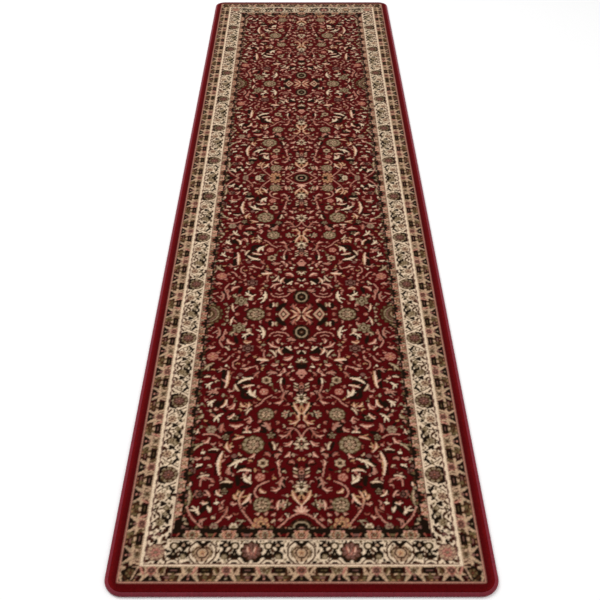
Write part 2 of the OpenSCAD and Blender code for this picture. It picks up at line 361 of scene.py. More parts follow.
# Leaves and buds: p and q of the stem, then of the tip, the width and the bend to the left
FIELD_LEAVES = {
    CREAM: [
        (112, 88, 131, 60, 10, -2), (222, 34, 240, 56, 8), (204, 66, 221, 66, 9),
        (199, 40, 207, 56, 8, 2), (174, 82, 190, 99, 8), (113, 116, 131, 142, 14, -3),
        (114, 150, 145, 148, 10, 8), (126, 184, 166, 160, 11, 4), (186, 140, 182, 206, 13, -5),
        (226, 168, 240, 160, 8), (163, 320, 178, 302, 8), (190, 319, 210, 294, 9),
        (246, 272, 251, 256, 7), (113, 372, 131, 398, 14, -3), (118, 412, 147, 402, 9, 3),
        (124, 436, 160, 416, 12, 5), (190, 404, 187, 462, 13, 3), (212, 363, 228, 342, 9),
        (184, 363, 197, 338, 10), (222, 421, 238, 402, 8), (86, 497, 116, 500, 15, 3),
        (26, 534, 43, 548, 9, 2), (50, 519, 58, 546, 9), (103, 580, 114, 628, 11, 14),
        (128, 592, 141, 612, 7, -4), (138, 598, 158, 581, 8), (184, 664, 190, 628, 8, 4),
        (45, 652, 52, 664, 8), (250, 122, 251, 108, 8),
    ],
    PINK: [
        (30, 133, 43, 131, 5), (42, 133, 47, 104, 8, 3), (46, 106, 67, 97, 8, -3), (28, 26, 36, 38, 6),
        (48, 72, 50, 46, 9, 5), (162, 56, 168, 30, 7, -2), (150, 33, 165, 29, 7), (206, 25, 219, 12, 8),
        (202, 80, 216, 98, 6, 6), (154, 118, 181, 118, 8), (140, 65, 156, 63, 7), (118, 58, 127, 47, 6),
        (152, 136, 164, 160, 9, -5), (166, 158, 164, 140, 8), (214, 124, 226, 150, 6),
        (208, 138, 234, 130, 8), (50, 162, 51, 182, 8), (17, 172, 29, 178, 10), (28, 204, 39, 189, 9),
        (48, 198, 62, 188, 9), (44, 204, 51, 218, 7), (62, 210, 70, 234, 9), (22, 236, 39, 221, 9),
        (72, 192, 86, 201, 9), (107, 201, 121, 187, 8), (76, 267, 90, 291, 12), (98, 278, 113, 263, 8),
        (119, 262, 139, 261, 10, 2), (128, 262, 128, 282, 6), (20, 274, 36, 244, 7, 2),
        (34, 253, 54, 254, 7), (210, 184, 226, 186, 9), (230, 188, 247, 184, 8),
        (188, 208, 216, 208, 7, 8), (216, 246, 230, 228, 10), (187, 288, 189, 261, 12),
        (140, 285, 171, 284, 11), (244, 298, 256, 288, 9), (202, 332, 212, 336, 9),
        (120, 338, 133, 314, 8), (126, 310, 124, 288, 7), (42, 386, 47, 358, 8, 3),
        (46, 361, 67, 353, 9, -3), (30, 392, 42, 386, 5), (164, 352, 177, 332, 10),
        (166, 414, 154, 392, 10, 4), (168, 394, 184, 394, 6), (202, 400, 216, 398, 7),
        (214, 402, 226, 370, 7), (206, 386, 236, 388, 9), (214, 434, 226, 442, 9),
        (230, 442, 246, 438, 9), (46, 472, 47, 452, 8), (29, 456, 37, 443, 8), (50, 454, 62, 445, 9),
        (62, 452, 88, 453, 9), (18, 430, 29, 436, 10), (50, 436, 50, 414, 9), (60, 484, 77, 482, 10),
        (106, 458, 119, 438, 8), (128, 474, 156, 470, 8, -3), (190, 464, 216, 464, 7, 7),
        (24, 512, 46, 501, 14), (66, 512, 83, 536, 9), (60, 545, 87, 563, 9), (134, 522, 147, 514, 9),
        (160, 516, 169, 506, 7), (16, 570, 39, 577, 10), (60, 560, 61, 580, 9), (78, 628, 79, 644, 11),
        (44, 626, 51, 611, 10), (14, 656, 23, 631, 11), (178, 558, 197, 577, 12),
        (224, 621, 226, 580, 9, -7), (8, 545, 20, 546, 8), (188, 534, 203, 548, 8),
        (226, 548, 246, 546, 8), (244, 542, 259, 526, 8), (56, 40, 66, 34, 8), (72, 42, 80, 34, 7),
        (92, 42, 99, 34, 7), (2, 534, 10, 522, 8), (252, 496, 254, 480, 10), (248, 380, 262, 366, 9),
        (252, 58, 260, 42, 9), (246, 148, 256, 140, 8), (148, 644, 158, 630, 6),
    ],
    GREY: [
        (22, 62, 35, 62, 5, 13), (248, 60, 251, 102, 11), (186, 250, 172, 246, 9),
        (228, 230, 252, 203, 8), (238, 316, 248, 306, 12), (226, 488, 249, 462, 10),
        (67, 628, 66, 644, 10), (242, 10, 256, 14, 7), (120, 19, 142, 17, 5, 2), (44, 148, 36, 152, 8),
        (20, 320, 34, 316, 6, 13), (178, 605, 192, 592, 9), (206, 638, 216, 632, 9),
        (240, 638, 250, 630, 9), (88, 486, 108, 484, 6, -3),
    ],
    GOLD: [
        (134, 62, 141, 100, 10, -2), (137, 70, 127, 97, 8, -2), (139, 74, 150, 88, 8),
        (136, 248, 161, 239, 10, 2), (164, 204, 173, 232, 12), (158, 220, 168, 216, 7),
        (134, 340, 150, 356, 9), (132, 332, 130, 356, 9), (133, 567, 153, 567, 12), (4, 338, 6, 298, 14),
        (6, 300, 30, 287, 10, -3), (2, 62, 20, 98, 12, -3), (80, 92, 93, 102, 11),
        (2, 320, 18, 356, 12, -3),
    ],
    ROSE: [
        (62, 74, 74, 66, 8), (60, 52, 72, 54, 8), (194, 120, 202, 126, 7), (232, 98, 226, 78, 9),
        (62, 296, 54, 286, 8), (92, 300, 104, 290, 8), (60, 330, 72, 322, 8), (210, 310, 220, 318, 10),
        (170, 676, 182, 676, 14), (156, 660, 146, 650, 8), (206, 604, 198, 596, 9),
        (212, 570, 206, 586, 9), (8, 672, 22, 672, 12), (84, 654, 98, 646, 9), (86, 676, 92, 668, 7),
        (170, 540, 178, 534, 8), (98, 530, 104, 540, 8), (204, 506, 214, 498, 8),
        (146, 504, 154, 500, 7), (180, 600, 170, 592, 7),
    ],
}

# Dark patches that set the light motifs off: their radius, and then their path
FIELD_DARKS = [
    (12, (262, 22), (250, 6), (230, -4)), (6, (258, 34), (244, 18)),
    (9, (206, 74), (210, 56), (218, 42)), (6, (200, 62), (206, 74)),
    (9, (158, 108), (176, 106), (166, 94)), (8, (144, 136), (142, 112)), (7, (114, 110), (134, 106)),
    (6, (2, 124), (8, 122)), (8, (130, 163), (150, 160)), (6, (148, 190), (160, 182)),
    (8, (164, 262), (180, 258)), (5, (170, 240), (180, 236)), (7, (144, 300), (170, 297)),
    (7, (148, 316), (156, 306)), (5, (84, 262), (98, 264)), (5, (66, 262), (60, 246)),
    (7, (204, 358), (210, 338)), (8, (146, 396), (144, 374), (126, 368)), (7, (130, 421), (152, 418)),
    (6, (4, 382), (10, 386)), (13, (2, 474), (8, 480)), (6, (98, 486), (116, 494)),
    (7, (22, 524), (40, 530), (54, 546)), (5, (62, 528), (66, 538)), (8, (176, 584), (170, 562)),
    (12, (48, 634), (66, 656)), (5, (84, 578), (92, 568)), (8, (256, 620), (262, 606)),
    (7, (242, 570), (258, 566)), (6, (184, 326), (190, 334)), (5, (62, 156), (70, 152)),
    (4, (188, 660), (176, 652)), (6, (126, 8), (134, 2)), (5, (170, 4), (162, 0)),
    (4, (216, 280), (226, 290)), (5, (10, 170), (14, 158)), (4, (66, 272), (70, 266)),
]

# Small flowers: p, q, the radius, and then the three yarns, or the yarn and the number of lobes
SMALL_ROSETTES = [
    (145, 5, 9, CREAM, GREY, BLACK), (187, 5, 9, GREY, MAUVE, BROWN),
    (214, 270, 12, GREY, MAUVE, OLIVE), (230, 512, 14, ROSE, PINK, GOLD),
]
BUDS = [
    (171, 95, 7, GREY, 5), (225, 88, 8, MAUVE, 5), (250, 151, 10, MAUVE, 6), (155, 192, 6, MAUVE, 4),
    (178, 247, 8, GREY, 5), (160, 306, 7, GREY, 5), (155, 448, 6, MAUVE, 4), (140, 542, 14, MAUVE, 6),
]


def double_rosette(pen, p, q, radius):
    """A large flower with a smaller one on it."""
    pen.flower(p, q, radius, BROWN, 9, 0.1)
    pen.rosette(p, q, radius * 0.95, GREY, OLIVE, BROWN, 9)
    pen.flower(p, q, radius * 0.62, BROWN, 7, 0.1)
    pen.rosette(p, q, radius * 0.56, BEIGE, BROWN, GREY, 7)


def field_palmettes(pen):
    """The large flowers of the field, drawn over the leaves and vines."""
    # On the middle line
    pen.flower(0, 0, 25, BLACK, depth=0)
    pen.ring(0, 0, 17, 4, GREY)
    pen.dot(0, 0, 5, PINK)
    pen.fan(0, 42, 17, 90, PINK, 5, 150, 0.5)
    for q in (106, 366):
        pen.palmette(0, q, 20, 270, GREY, CREAM, PINK)
        pen.palmette(0, q + 6, 15, 90, BEIGE, OLIVE, GREY)
        for i, step in enumerate((30, 40, 50)):
            pen.flower(0, q + step, 11 - 3 * i, (MAUVE, BROWN, ROSE)[i], 4, 0.3)
            pen.leaf(9, q + step - 4, 19, q + step + 4, 6, (PINK, GREY, BEIGE)[i])
        pen.ring(0, q + 40, 5, 2, PINK)
    pen.palmette(0, 226, 20, 270, BEIGE, GREY, PINK)
    pen.palmette(0, 236, 14, 90, GREY, CREAM, ROSE)
    pen.flower(4, 456, 9, PINK, 3, 0.2)
    pen.palmette(0, 494, 16, 90, GREY, CREAM, PINK)
    pen.flower(0, 603, 22, BLACK, depth=0, tall=1.25)
    pen.ring(0, 603, 15, 4, GREY, tall=1.25)
    pen.flower(0, 603, 7, BROWN, 5, 0.1, edge=None)
    pen.dot(0, 603, 2, BEIGE)
    # The gold palmette with a dark eye
    pen.flower(87, 12, 17, GOLD, 7, 0.12)
    pen.dot(80, 3, 7, BLACK)
    # Flowers seen from the side and from above, twice in a repeat
    for shift in (0, 257):
        pen.palmette(36, 60 + shift, 14, 20, GREY, PINK, CREAM)
        double_rosette(pen, 86, 60 + shift, 20)
        pen.rosette(93, 133 + shift, 11, PINK, ROSE, CREAM, 5)
        pen.flower(88, 172 + shift, 12, GREY, 6, 0.1)
        pen.ring(88, 172 + shift, 9, 4, BEIGE)
        pen.dot(88, 172 + shift, 5, BROWN)
    # The large palmette
    double_rosette(pen, 113, 225, 26)
    # Small rosettes and buds
    for look in SMALL_ROSETTES:
        pen.rosette(*look, 6)
    for look in BUDS:
        pen.flower(*look, 0.15)
    pen.flower(72, 252, 8, GREY, 5, 0.2)
    pen.ring(140, 542, 8, 3, RUST)
    # Round the second axis of the repeat
    for reach, yarn in ((21, BROWN), (18, BEIGE), (14, PINK), (10, BROWN), (5, BEIGE)):
        pen.polygon([(50 - reach, 674), (50, 674 - 1.5 * reach), (50 + 0.8 * reach, 674)], yarn)
    pen.leaf(3, 670, 15, 646, 9, GOLD)
    pen.leaf(12, 674, 30, 656, 7, GOLD)
    pen.flower(0, 674, 5, BROWN, 4, 0.2)
    double_rosette(pen, 125, 674, 25)
    pen.flower(168, 620, 17, GREY, 6, 0.2)
    pen.dot(157, 618, 4, OLIVE)
    pen.dot(185, 612, 5, BROWN)
    pen.fan(148, 612, 14, 200, BEIGE, 3, 70)
    pen.flower(258, 674, 42, OLIVE, 16, 0.05)
    for radius, yarn in ((36, BROWN), (31, GREY), (24, MAUVE), (18, BROWN), (13, BEIGE)):
        pen.ring(258, 674, radius, 3, yarn)
    pen.dot(258, 674, 9, BROWN)


def fleck(chart, ground, rng, edge_share, inner_share):
    """Break up the motifs' edges and insides with darker knots, as in a fine woven drawing."""
    padded = np.pad(chart, 1, mode="edge")
    around = (padded[:-2, 1:-1], padded[2:, 1:-1], padded[1:-1, :-2], padded[1:-1, 2:])
    at_edge = np.any([side != chart for side in around], axis=0)
    chance = np.where(at_edge, edge_share, inner_share)
    light = np.isin(chart, (GREY, BEIGE, GOLD, CREAM, PINK, OLIVE)) & (chart != ground)
    chosen = light & (rng.random(chart.shape) < chance)
    chart[chosen] = np.array([SHADES[yarn] for yarn in range(len(YARNS))])[chart[chosen]]


def field_leaf(pen, i, yarn, p0, q0, p1, q1, wide, bend=0):
    """The i-th leaf of one yarn, with barbs, and with a dark leaf behind some of them."""
    length = math.hypot(p1 - p0, q1 - q0)
    if i % 2 or yarn == CREAM:
        lean = wide * (0.7 if i % 4 > 1 else -0.7) / length
        aside, on = -(q1 - q0) * lean, (p1 - p0) * lean
        back = [(p0 + aside, q0 + on), (p1 + aside, q1 + on)]
        pen.brush(back, [wide * 0.2, wide * 0.42, wide * 0.3], (BLACK, RUST)[i % 3 > 1])
    side = 1 if i % 2 else -1
    barbs = [(0.3, side, 1.0), (0.55, -side, 0.8)] if i % 3 else [(0.2, side, 1.2)]
    most = 0.15 * length
    bend = np.clip(bend or side * min(4, most), -most, most)
    bodies = {CREAM: (BLUSH, CREAM), PINK: (PINK, TAN, PINK, BEIGE, PINK, ROSE)}.get(yarn, (yarn,))
    wide *= 0.74 if yarn == CREAM else 0.84
    pen.leaf(p0, q0, p1, q1, wide, bodies[i % len(bodies)], bend, barbs=barbs)


def field_repeat(width, length):
    """Knot chart of one woven repeat of the field, from its end and from the rug's middle line."""
    chart = np.full((round(length / KNOT), round(width / KNOT)), WINE, np.int8)
    pen = Pen(chart, WINE)
    for path in FIELD_VINES:
        pen.brush(path, [2.1, 2.1], PINK, RUST)
    for radius, *path in FIELD_DARKS:
        radii = np.array([0.6, 0.85, 0.6]) * radius
        pen.brush(path, radii, RUST)
        pen.brush(path, radii * 0.65, BLACK)
    for yarn in (ROSE, GREY, GOLD, PINK, CREAM):
        for i, leaf in enumerate(FIELD_LEAVES[yarn]):
            field_leaf(pen, i, yarn, *leaf)
    field_palmettes(pen)
    rng = np.random.default_rng(SEED)
    region = (0, width, 0, length)

    def bud(p, q, turn, pick):
        yarn = (PINK, GOLD, PINK, CREAM, BEIGE, GREY, PINK)[pick % 7]
        pen.sprig(p, q, turn, 6.5, yarn, 2 + pick % 2)

    def hook(p, q, turn, pick):
        pen.curl(p, q, turn, 5.5, (PINK, BEIGE, ROSE, GOLD, PINK)[pick % 5])

    pen.scatter(rng, region, 9, bud)
    pen.scatter(rng, region, 8, hook)
    fleck(chart, WINE, rng, 0.15, 0.14)
    return chart


# ---- Borders -------------------------------------------------------------------------------------
# q runs inwards from the rug's edge. p runs along the border: from the rug's end along a side, and from
# the rug's middle line across an end.

WHOLE = (-10, 1510)  # reaches past both ends of every border
SIDE_FLOWERS = 220  # from one large flower of the side border to the next
SIDE_GUARD = 74  # from one flower of the outer guard to the next, along a side
END_GUARD = 76.5  # and across an end
SIDE_INNER = 62  # from one flower of the inner guard to the next, along a side
END_INNER = 77  # and across an end
SCALLOPS = 20  # from one scallop of the field's edge to the next


def spread(first, last, pitch):
    """Places from first to last, as near the pitch apart as fits."""
    return np.linspace(first, last, max(1, round((last - first) / pitch)) + 1)


def outer_guard(pen, q0, q1, places, blocks, strokes):
    """Black triangles on the outer side with brown blocks between them, and a row of small flowers."""
    half = (places[1] - places[0]) / 2
    middle = q1 - 9
    pen.block(*WHOLE, q0, q1, BEIGE)
    pen.block(*WHOLE, middle - 7, q1 - 1, BROWN)
    for i, place in enumerate(places):
        yarn, shade = ((BROWN, OLIVE), (RUST, MAUVE), (OLIVE, BROWN))[i % 3]
        for side in (-1, 1):
            far = Spot(pen, place + side * half, q0, -side)
            far.polygon([(0, 0), (17, 0), (21, 15), (0, 15)], BLACK)
            far.polygon([(0, 0), (14, 0), (18, 13), (0, 13)], yarn)
            far.polygon([(0, 7), (9, 7), (12, 12), (0, 12)], shade)
            far.brush([(4, 3), (9, 4)], [1.4, 1], GOLD)
            Spot(pen, place, q0, side).brush([(12, 17), (21, 3)], [1.2, 1.2], (BEIGE, GREY)[i % 2])
            far.brush([(6, 14), (10, middle - 5 - q0)], [3.2, 3.2], (BROWN, OLIVE)[i % 2])
        spot = Spot(pen, place, q0)
        spot.polygon([(-18, 0), (-4, 16), (4, 16), (18, 0)], BLACK)
        spot.dot(0, 14, 3.4, MAUVE)
        spot.dot(0, 6, 2.6, (GREY, PINK)[i % 2])
        spot = Spot(pen, place, middle)
        for half_spot in spot.sides():
            half_spot.brush([(14, -9), (11, 0), (15, 9)], [2.2, 1.8, 2.2], BEIGE)
        spot.dot(0, 0, 9.5, (PINK, BEIGE)[i % 2])
        spot.rosette(0, 0, 7.8, (MAUVE, GREY)[i % 2], BROWN, (PINK, OLIVE)[i % 2], 6)
    for i, place in enumerate(blocks):
        spot = Spot(pen, place, middle)
        spot.brush([(-10, 0), (0, 0), (10, 0)], [7.5, 5.5, 7.5], BLACK)
        spot.brush([(13, 6), (15, -5)], [2.5, 2.5], RUST)
        spot.brush([(-14, 5), (-15, -5)], [1.6, 1.6], BROWN)
        spot.brush([(-5, 0), (5, 0)], [1.2, 1.2], (OLIVE, MAUVE)[i % 2])
        for lean in (-17, 17):
            spot.brush([(lean, 6), (lean * 1.1, -7)], [1.2, 1.6, 1.2], BEIGE)
    for i, place in enumerate(strokes):
        slant = 4 if i % 2 else -4
        spot = Spot(pen, place, middle)
        spot.brush([(-slant, 8), (slant, -8)], [1.8, 2.4, 1.8], (BEIGE, OLIVE, PINK)[i % 3])


def inner_guard(pen, q0, q1, places):
    """Small flowers on pale ovals with dark blocks between them, on a black ground."""
    middle = (q0 + q1) / 2 - 3
    tall = (q1 - q0 - 2) / 34
    half = (places[1] - places[0]) / 2
    pen.block(*WHOLE, q0, q1, BLACK)
    pen.block(*WHOLE, q0, q0 + 3, BEIGE)
    for i, place in enumerate(places):
        Spot(pen, place + half, middle).brush([(-5, 0), (5, 0)], [2.6, 2.6], (WINE, MAUVE, OLIVE)[i % 3])
        pen.flower(place, middle, 17, BLUSH, depth=0, tall=tall, edge=BROWN)
        pen.ring(place, middle, 12.5, 2, (ROSE, OLIVE)[i % 2], tall=tall)
        for spot in Spot(pen, place, middle).sides():
            spot.leaf(13, -6, 20, 3, 5.4, GREY)
            spot.leaf(8, 7, 15, 10, 4.5, PINK)
            spot.brush([(half * 0.86, -5), (half * 0.74, 4)], [1.2, 1.6], ROSE)
        petal, core = ((BEIGE, GOLD), (GREY, PINK))[i % 2]
        pen.rosette(place, middle, 8 if tall > 0.5 else 6.5, petal, BROWN, core, 6)


def fill_border(pen, region, rng):
    """Small dark leaves over the pale ground that is left between the border's motifs."""

    def hook(p, q, turn, pick):
        pen.curl(p, q, turn, 4.6, (BROWN, BLACK, OLIVE, BROWN, MAUVE)[pick % 5])

    def bud(p, q, turn, pick):
        path = [(p, q), (p + 5 * math.cos(turn), q + 5 * math.sin(turn))]
        pen.brush(path, [2.6, 1.0], (BROWN, BLACK, OLIVE, GREY)[pick % 4])

    pen.scatter(rng, region, 6.4, hook)
    pen.scatter(rng, region, 4.2, bud)


def medallion(spot):
    """A ringed flower with pale crescents and a black bow on its inner side."""
    spot.ring(0, 0, 28.5, 4.6, BROWN)
    spot.dot(0, 0, 26.8, CREAM)
    spot.dot(0, -1, 20.5, BEIGE)
    for half in spot.sides():
        half.brush([(13, 13), (18, 0), (12, -15)], [1, 1.6, 1], OLIVE)
        half.brush([(19, 11), (22, 0), (18, -12)], [0.8, 1.4, 0.8], BROWN)
    spot.ring(0, -1, 11.5, 3.6, BROWN)
    spot.dot(0, -1, 8.6, BEIGE)
    spot.flower(0, -2, 5.4, GOLD, 5, 0.2)
    spot.dot(0, -2, 1.8, MAUVE)
    spot.brush([(0, -12), (0, -22)], [2, 1.2], BROWN)
    for half in spot.sides():
        half.brush([(0, 13), (5, 20), (12, 26)], [3.4, 4.6, 3.4], BLACK)
        half.brush([(8, 12), (14, 7)], [1.6, 1.2], BROWN)
        half.brush([(6, -25), (11, -18)], [1.4, 2], BROWN)
        half.leaf(22, -26, 32, -20, 7, BLACK)
        half.brush([(30, 14), (26, 24)], [1.6, 2.4, 1.2], BROWN)


def mauve_palmette(spot):
    """A round flower of mauve petals with two black wings at its foot."""
    spot.flower(0, 3, 21, BROWN, 9, 0.1, edge=BLACK)
    spot.rosette(0, 3, 19.5, MAUVE, BROWN, BROWN, 9)
    for lean in (-9, 0, 9):
        spot.leaf(lean * 0.4, -8, lean, 14, 8, (PINK, MAUVE)[lean == 0], edge=BROWN)
    spot.flower(0, -3, 6.4, MAUVE, 5, 0.2, edge=BROWN)
    spot.dot(0, -3, 2.4, PINK)
    for half in spot.sides():
        half.brush([(4, -23), (12, -20), (20, -10)], [2, 4, 2.4], BLACK)


def scrolls(pen, place, middle, side):
    """A black vase under an olive ring, with a hook, a four-lobed flower and brown stems beside it."""
    vase, beside = Spot(pen, place, middle), Spot(pen, place, middle, side)
    vase.brush([(-10, -9), (10, -9)], [4, 5, 4], BLACK)
    vase.brush([(0, -10), (0, 5)], [8, 3.4], BLACK)
    vase.dot(0, -4, 2, GREY)
    vase.ring(0, 15, 8.4, 3.2, BLACK)
    vase.ring(0, 15, 6, 3, OLIVE)
    vase.dot(0, 15, 2, GREY)
    vase.stem([(-15, -25), (-6, -17), (6, -17), (15, -25)])
    vase.brush([(-6, -25), (6, -25)], [1.2, 3.4, 1.2], BLACK)
    beside.flower(12, 22, 4.4, BLACK, 3, 0.2)
    beside.leaf(14, -4, 10, 8, 5, BROWN)
    hook, past = (Spot(pen, place + side * 21, middle, turned) for turned in (1, side))
    hook.flower(0, 16, 10.5, BLACK, 4, 0.25)
    past.flower(-2, 17, 3.2, BEIGE, 3, 0.3)
    hook.brush([(-8, -14), (-6, -3), (5, 0), (8, -10)], [1.6, 3.4, 3.4, 1.6], BLACK)
    hook.flower(0, -10, 4.6, GREY, 5, 0.15, edge=OLIVE)
    past.stem([(-14, 6), (-12, -6), (-8, -18)])
    past.leaf(10, 8, 15, -4, 5, BROWN)
    past.brush([(4, -24), (14, -25)], [1.4, 2.6, 1.4], BROWN)
    past.leaf(-6, 25, 12, 26, 5, BLACK)


def corner_flower(spot):
    """The round flower where the main borders meet, with dark leaves all round it."""
    spot.dot(0, 0, 24, CREAM)
    for i in range(8):
        away = math.radians(22.5 + 45 * i)
        near = (21 * math.cos(away), 21 * math.sin(away))
        far = (32 * math.cos(away + 0.3), 32 * math.sin(away + 0.3))
        spot.leaf(*near, *far, 8, (BROWN, BLACK)[i % 2], 3)
    spot.dot(0, 0, 20, BROWN)
    spot.rosette(0, 0, 19, BEIGE, MAUVE, BROWN, 10)
    spot.rosette(0, 0, 11, PINK, MAUVE, GREY, 7)


def end_border(pen, q0, q1):
    """The main border across an end, as far as the corner flower."""
    middle = (q0 + q1) / 2
    pen.block(*WHOLE, q0, q1, CREAM)
    for side in (-1, 1):
        scrolls(pen, 104 + side * 35, middle, side)
    mauve_palmette(Spot(pen, 104, middle))
    for place in (0, 206):
        medallion(Spot(pen, place, middle))
    scrolls(pen, 266, middle, -1)
    corner_flower(Spot(pen, 303, middle))


def side_border(pen, start, q0, q1, places):
    """The main border along a side: large flowers, with a forked palmette between them."""
    middle = (q0 + q1) / 2
    half = (places[1] - places[0]) / 2
    pen.block(start, WHOLE[1], q0, q1, CREAM)
    for place in places:
        spot = Spot(pen, place, middle)
        for side in spot.sides():
            side.stem([(46, -17), (37, -6), (22, 20)])
            side.brush([(27, -14), (36, -18)], [2, 3, 1.6], BROWN)
            side.leaf(30, 8, 44, 16, 9, BLACK)
            side.leaf(33, 3, 42, 4, 5, OLIVE)
            side.brush([(40, 20), (52, 14)], [2, 3.4, 2], BLACK)
            side.rosette(58, -8, 10.5, BEIGE, BROWN, MAUVE, 7)
            side.leaf(56, 8, 68, 16, 9, BLACK)
            side.leaf(52, 6, 60, 12, 5, GREY, edge=OLIVE)
            side.brush([(72, -12), (78, -17)], [3.6, 2.4], BROWN)
            side.flower(77, -1, 7, BLACK, 3, 0.25)
            side.flower(88, 8, 7.5, OLIVE, 4, 0.2)
            side.flower(88, 8, 3.6, GREY, 4, 0.2)
            side.leaf(84, -10, 96, -12, 6, BROWN)
            side.brush([(78, 19), (92, 19)], [1.6, 2.6, 1.6], BROWN)
        spot.dot(0, 1, 23, BROWN)
        spot.rosette(0, 2, 21, GREY, BROWN, BEIGE, 9)
        spot.ring(0, 2, 13, 2.4, BROWN)
        spot.rosette(0, 2, 12, MAUVE, BROWN, PINK, 7)
        for side in spot.sides():
            side.brush([(23, -4), (17, -16), (5, -18)], [2.4, 4.6, 3], BLACK)
            side.brush([(8, -11), (13, -8)], [2, 2], OLIVE)
    for place in (*(places - half), places[-1] + half):
        spot = Spot(pen, place, middle)
        for side in spot.sides():
            side.brush([(2, 4), (9, 12), (17, 15)], [5, 5.6, 2.6], BLACK)
            side.brush([(3, -4), (9, -9), (13, -16)], [3, 3, 2], BROWN)
            side.leaf(22, 2, 18, -8, 5, BROWN)
            side.leaf(23, -16, 14, -19, 5, BLACK)
        spot.rosette(-14, -1, 9.5, GREY, OLIVE, BEIGE, 6)
        spot.flower(6, 8, 5, GREY, 4, 0.2, edge=OLIVE)
        spot.brush([(-5, 19), (5, 19)], [2.4, 3.4, 2.4], BLACK)
        spot.brush([(-2, -14), (6, -15)], [2.2, 3, 2.2], BROWN)


def field_edge(chart, pen, line, near, far, over):
    """Dark scallops round the field's edge: over its motifs at first, then on its ground only."""
    edging = Pen(np.full_like(chart, WINE), WINE, pen.place)
    for i, place in enumerate(np.arange(near + 4, far, SCALLOPS)):
        spot = Spot(edging, place, line)
        spot.dot(0, -3, 11, BLACK)
        spot.flower(0, 3, 3.4, (MAUVE, GREY, BROWN, OLIVE)[i % 4], 3, 0.3)
        spot.brush([(6, 3), (14, 2)], [1.4, 2, 1.2], (BROWN, ROSE)[i % 2])
    rim = Pen(np.zeros_like(chart), WINE, pen.place)
    rim.block(near, far, line, line + over, 1)
    covered = (edging.chart != WINE) & ((chart == WINE) | (rim.chart == 1))
    chart[covered] = edging.chart[covered]


def quarter_chart(width, length, sides, ends):
    """Knot chart of a quarter of the rug, from its middle line outwards and from its end inwards.

    "sides" and "ends" give where each band starts, in from the rug's outer edge.
    """
    chart = np.full((round(length / KNOT), round(width / KNOT)), WINE, np.int8)
    side = Pen(chart, CREAM, lambda p, q: (width - q, p))
    end = Pen(chart, CREAM)

    def cut_pen(band, ground):
        """A pen for an end's bands that stops where the side's band starts."""
        return Pen(chart[:, : round((width - sides[band]) / KNOT)], ground)

    def side_line(outer, inner):
        side.block(ends[outer], length, sides[outer], sides[inner], CREAM)

    def end_line(outer, inner):
        end.block(0, width - sides[outer], ends[outer], ends[inner], CREAM)

    # Along the side: the places of its motifs are millimetres from the rug's end
    inner_guard(side, sides["inner_guard"], sides["field"], spread(200, length, SIDE_INNER))
    side_line("inner_cream_line", "inner_guard")
    flowers = spread(292, length - 108, SIDE_FLOWERS)
    side_border(side, ends["main_border"] + KNOT, sides["main_border"], sides["inner_cream_line"], flowers)
    side_line("outer_cream_line", "main_border")
    guard = spread(16, length, SIDE_GUARD)
    strokes = np.concatenate([guard + 18, guard + 56])
    blocks = guard + SIDE_GUARD / 2
    outer_guard(side, sides["outer_guard"], sides["outer_cream_line"], guard, blocks, strokes)

    # Across the end: the places of its motifs are millimetres from the rug's middle line
    inner_pen = cut_pen("inner_guard", BEIGE)
    inner_guard(inner_pen, ends["inner_guard"], ends["field"], spread(0, 4 * END_INNER, END_INNER))
    end_line("inner_cream_line", "inner_guard")
    main_pen = cut_pen("main_border", CREAM)
    end_border(main_pen, ends["main_border"], ends["inner_cream_line"])
    end_line("outer_cream_line", "main_border")
    blocks, strokes = (45, 110, 196, 261, 345), (22, 66, 88, 130, 176, 218, 240, 283, 326, 366)
    band = ends["outer_guard"], ends["outer_cream_line"]
    outer_guard(cut_pen("outer_guard", BEIGE), *band, spread(0, 5 * END_GUARD, END_GUARD), blocks, strokes)
    corner = Spot(end, width - (sides["outer_guard"] + sides["outer_cream_line"]) / 2, sum(band) / 2)
    corner.flower(0, 0, 16, BLACK, 5, 0.15)
    corner.rosette(-2, 2, 9.5, OLIVE, BROWN, ROSE, 5)
    corner.brush([(-17, 15), (-6, -12)], [2, 1.4], BEIGE)
    corner.brush([(3, -12), (12, -4)], [2, 2], BROWN)

    rng = np.random.default_rng(SEED)
    reach = width - sides["outer_cream_line"]
    fill_border(main_pen, (0, reach, ends["outer_cream_line"] + 4, ends["inner_cream_line"]), rng)
    region = (ends["main_border"], length, sides["outer_cream_line"] + 5, sides["inner_cream_line"])
    fill_border(side, region, rng)
    fleck(chart, CREAM, rng, 0.2, 0.1)

    # The lines between the bands, over whatever the motifs left on them
    end_line("outer_cream_line", "main_border")
    side_line("outer_cream_line", "main_border")
    for band, out in (("main_border", 0), ("inner_guard", -KNOT)):
        across, along = sides[band] + out, ends[band] + out
        end.block(0, width - across, along, along + KNOT, MAUVE)
        side.block(along, length, across, across + KNOT, MAUVE)
    for place in np.arange(ends["main_border"] + 12, length, 24):
        Spot(side, place, sides["main_border"]).brush([(-7, 0), (0, -1), (7, 0)], [0.8, 1.8, 0.8], BROWN)
    reach = width - sides["inner_cream_line"] - KNOT
    end.block(0, reach, ends["inner_cream_line"], ends["inner_guard"] - 1, CREAM)
    for pen, bands in ((side, sides), (end, ends)):
        pen.block(*WHOLE, bands["pin_line"], bands["outer_guard"], TAN)
    for pen in (side, end):
        pen.block(*WHOLE, 0, sides["pin_line"], WINE)

    start, columns = round(ends["field"] / KNOT), round((width - sides["field"]) / KNOT)
    rows = (round(length / KNOT) - start) // 2
    repeat = field_repeat(width - sides["field"], rows * KNOT)
    chart[start : start + rows, :columns] = repeat
    chart[start + rows :, :columns] = repeat[::-1]
    field_edge(chart, end, ends["field"], 0, columns * KNOT, 2)
    field_edge(chart, side, sides["field"], ends["field"], length, 10)
    return chart


# ---- Meshes --------------------------------------------------------------------------------------


